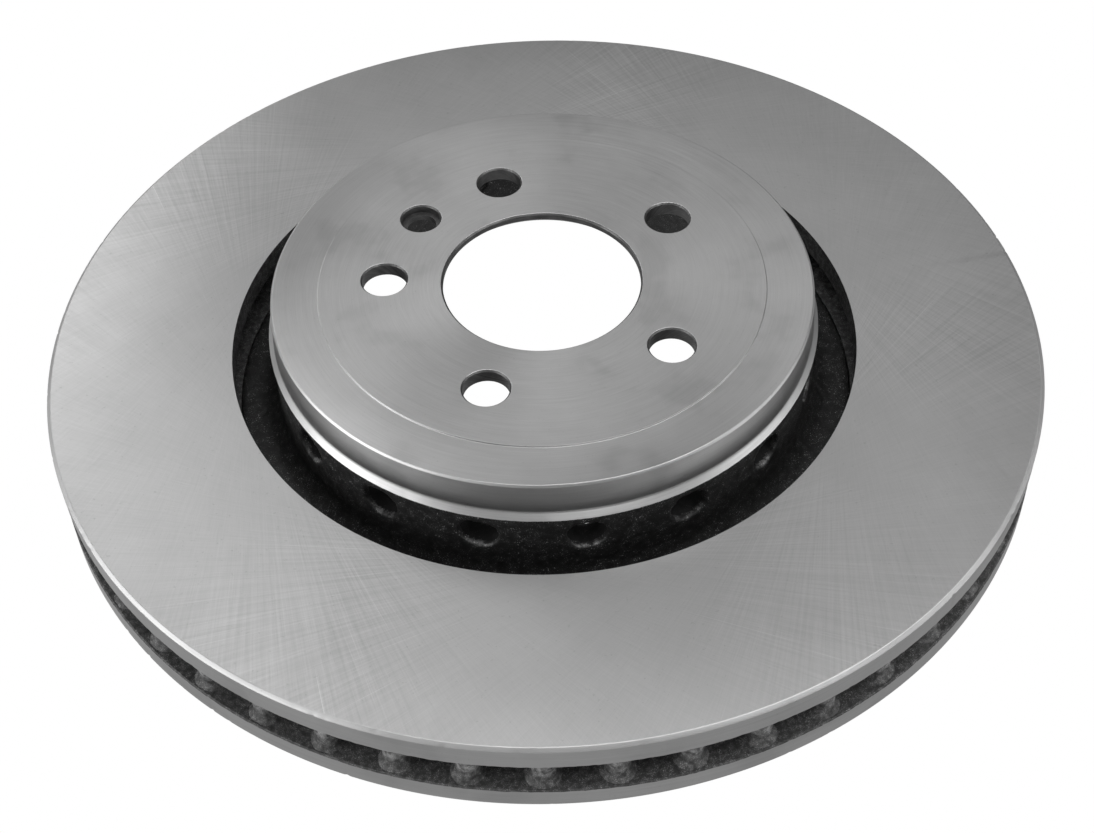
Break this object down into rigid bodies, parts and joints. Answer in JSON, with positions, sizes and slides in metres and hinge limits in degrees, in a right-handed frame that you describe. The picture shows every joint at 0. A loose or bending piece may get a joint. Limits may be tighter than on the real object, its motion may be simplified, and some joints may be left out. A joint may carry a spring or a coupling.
{
  "type": "ventilated brake disc",
  "caption": "Ventilated cast-iron brake disc: friction rings joined by vent pillars, a bell hat with air windows, a centre bore, wheel bolt holes and a locating screw hole.",
  "frame": {"origin": "on the disc's axis, at the centre of the bolt circle in the plane of the hub face (the inner face of the mounting flange)", "axes": "+Z along the axis, outboard towards the wheel; +Y through the centre of one wheel bolt hole"},
  "size_m": [0.345, 0.345, 0.0535],
  "materials": {
    "machined_iron": "fine turned, bare",
    "ground_iron": "cross-hatch ground, bare",
    "coated_casting": "rough cast skin under a thin black coating"
  },
  "bodies": {
    "root": {"mounting_flange": "machined_iron", "hat_wall": "machined_iron", "neck": "coated_casting", "outboard_ring": "ground_iron", "inboard_ring": "ground_iron", "outer_pillars": "coated_casting", "middle_pillars": "coated_casting", "inner_pillars": "coated_casting"}
  },
  "joints": []
}
